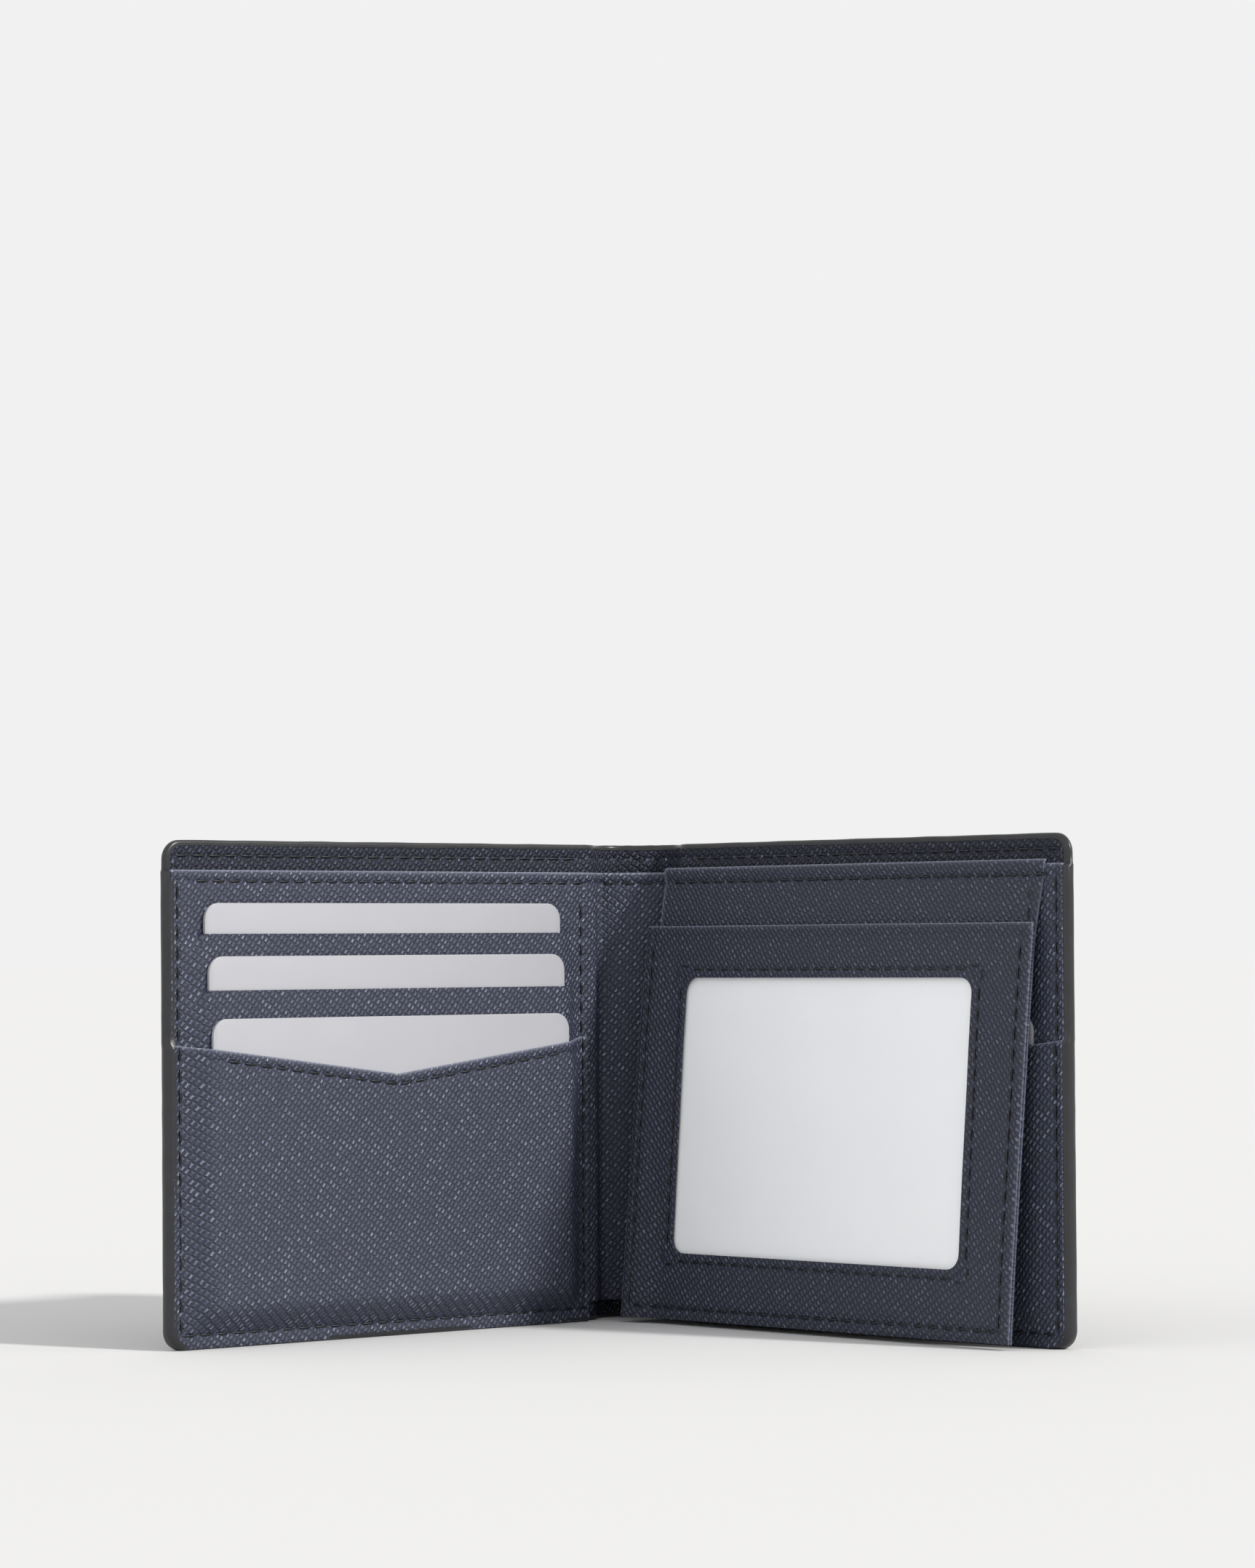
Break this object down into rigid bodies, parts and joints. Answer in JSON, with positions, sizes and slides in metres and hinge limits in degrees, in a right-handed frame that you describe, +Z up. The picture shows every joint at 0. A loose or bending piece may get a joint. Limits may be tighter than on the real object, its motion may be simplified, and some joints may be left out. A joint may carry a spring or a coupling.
{
  "type": "billfold wallet",
  "caption": "Leather billfold standing open, with card slots and a chevron pocket on each leaf and a flip-up clear window flap on one.",
  "frame": {"origin": "middle of the spine's bottom edge", "axes": "+Z up, +X towards the right leaf, +Y to the back; the wallet opens towards -Y"},
  "size_m": [0.169, 0.0862, 0.095],
  "materials": {
    "cover_leather": "cross-grain embossed, coated",
    "inner_leather": "cross-grain embossed, coated",
    "edge_paint": "satin painted edge",
    "board": "plain board",
    "pocket_fabric": "plain woven",
    "thread": "twisted thread",
    "clear_film": "clear soft film",
    "card_plastic": "blank satin card",
    "card_paper": "smooth white paper board"
  },
  "bodies": {
    "spine": {"spine_cover": "cover_leather", "spine_lining": "inner_leather", "spine_edge_paint": "edge_paint", "centre_strip": "inner_leather", "centre_hem_stitching": "thread"},
    "left_leaf": {"left_cover": "cover_leather", "left_stiffener": "board", "left_lining": "inner_leather", "left_edge_paint": "edge_paint", "left_divider": "pocket_fabric", "left_card_panel": "inner_leather", "left_upper_pocket_bag": "pocket_fabric", "left_lower_pocket_bag": "pocket_fabric", "left_chevron_pocket": "inner_leather", "left_edge_stitching": "thread", "left_hem_stitching": "thread", "left_inner_seam": "thread", "left_chevron_stitching": "thread"},
    "right_leaf": {"right_cover": "cover_leather", "right_stiffener": "board", "right_lining": "inner_leather", "right_edge_paint": "edge_paint", "right_divider": "pocket_fabric", "right_card_panel": "inner_leather", "right_upper_pocket_bag": "pocket_fabric", "right_lower_pocket_bag": "pocket_fabric", "right_chevron_pocket": "inner_leather", "right_edge_stitching": "thread", "right_inner_seam": "thread", "right_chevron_stitching": "thread", "flap_hinge_strip": "inner_leather", "flap_seam_stitching": "thread"},
    "flap": {"flap_base_panel": "inner_leather", "flap_back_panel": "inner_leather", "window_panel": "inner_leather", "window_film": "clear_film", "window_stitching": "thread", "flap_edge_stitching": "thread"},
    "left_top_card": {"left_top_card": "card_plastic"},
    "left_middle_card": {"left_middle_card": "card_plastic"},
    "left_bottom_card": {"left_bottom_card": "card_plastic"},
    "right_bottom_card": {"right_bottom_card": "card_plastic"},
    "id_insert": {"id_insert": "card_paper"}
  },
  "joints": [
    {"name": "left_fold", "type": "hinge", "parent": "spine", "child": "left_leaf", "pos_m": [-0.0084, -0.0116, 0.0475], "axis": [0, 0, 1], "range_deg": [-43.5, 46.5]},
    {"name": "right_fold", "type": "hinge", "parent": "spine", "child": "right_leaf", "pos_m": [0.0084, -0.0116, 0.0475], "axis": [0, 0, -1], "range_deg": [-43.5, 46.5]},
    {"name": "flap_hinge", "type": "hinge", "parent": "right_leaf", "child": "flap", "pos_m": [0.04227, -0.04455, 0.0868], "axis": [-0.7254, 0.6884, 0], "range_deg": [-1, 165]},
    {"name": "left_top_card_slide", "type": "slide", "parent": "left_leaf", "child": "left_top_card", "axis": [0, 0, 1], "range_m": [0, 0.045]},
    {"name": "left_middle_card_slide", "type": "slide", "parent": "left_leaf", "child": "left_middle_card", "axis": [0, 0, 1], "range_m": [0, 0.045]},
    {"name": "left_bottom_card_slide", "type": "slide", "parent": "left_leaf", "child": "left_bottom_card", "axis": [0, 0, 1], "range_m": [0, 0.045]},
    {"name": "right_bottom_card_slide", "type": "slide", "parent": "right_leaf", "child": "right_bottom_card", "axis": [0, 0, 1], "range_m": [0, 0.007]},
    {"name": "id_insert_slide", "type": "slide", "parent": "flap", "child": "id_insert", "axis": [0.06, 0.0632, 0.9962], "range_m": [0, 0.006]}
  ]
}
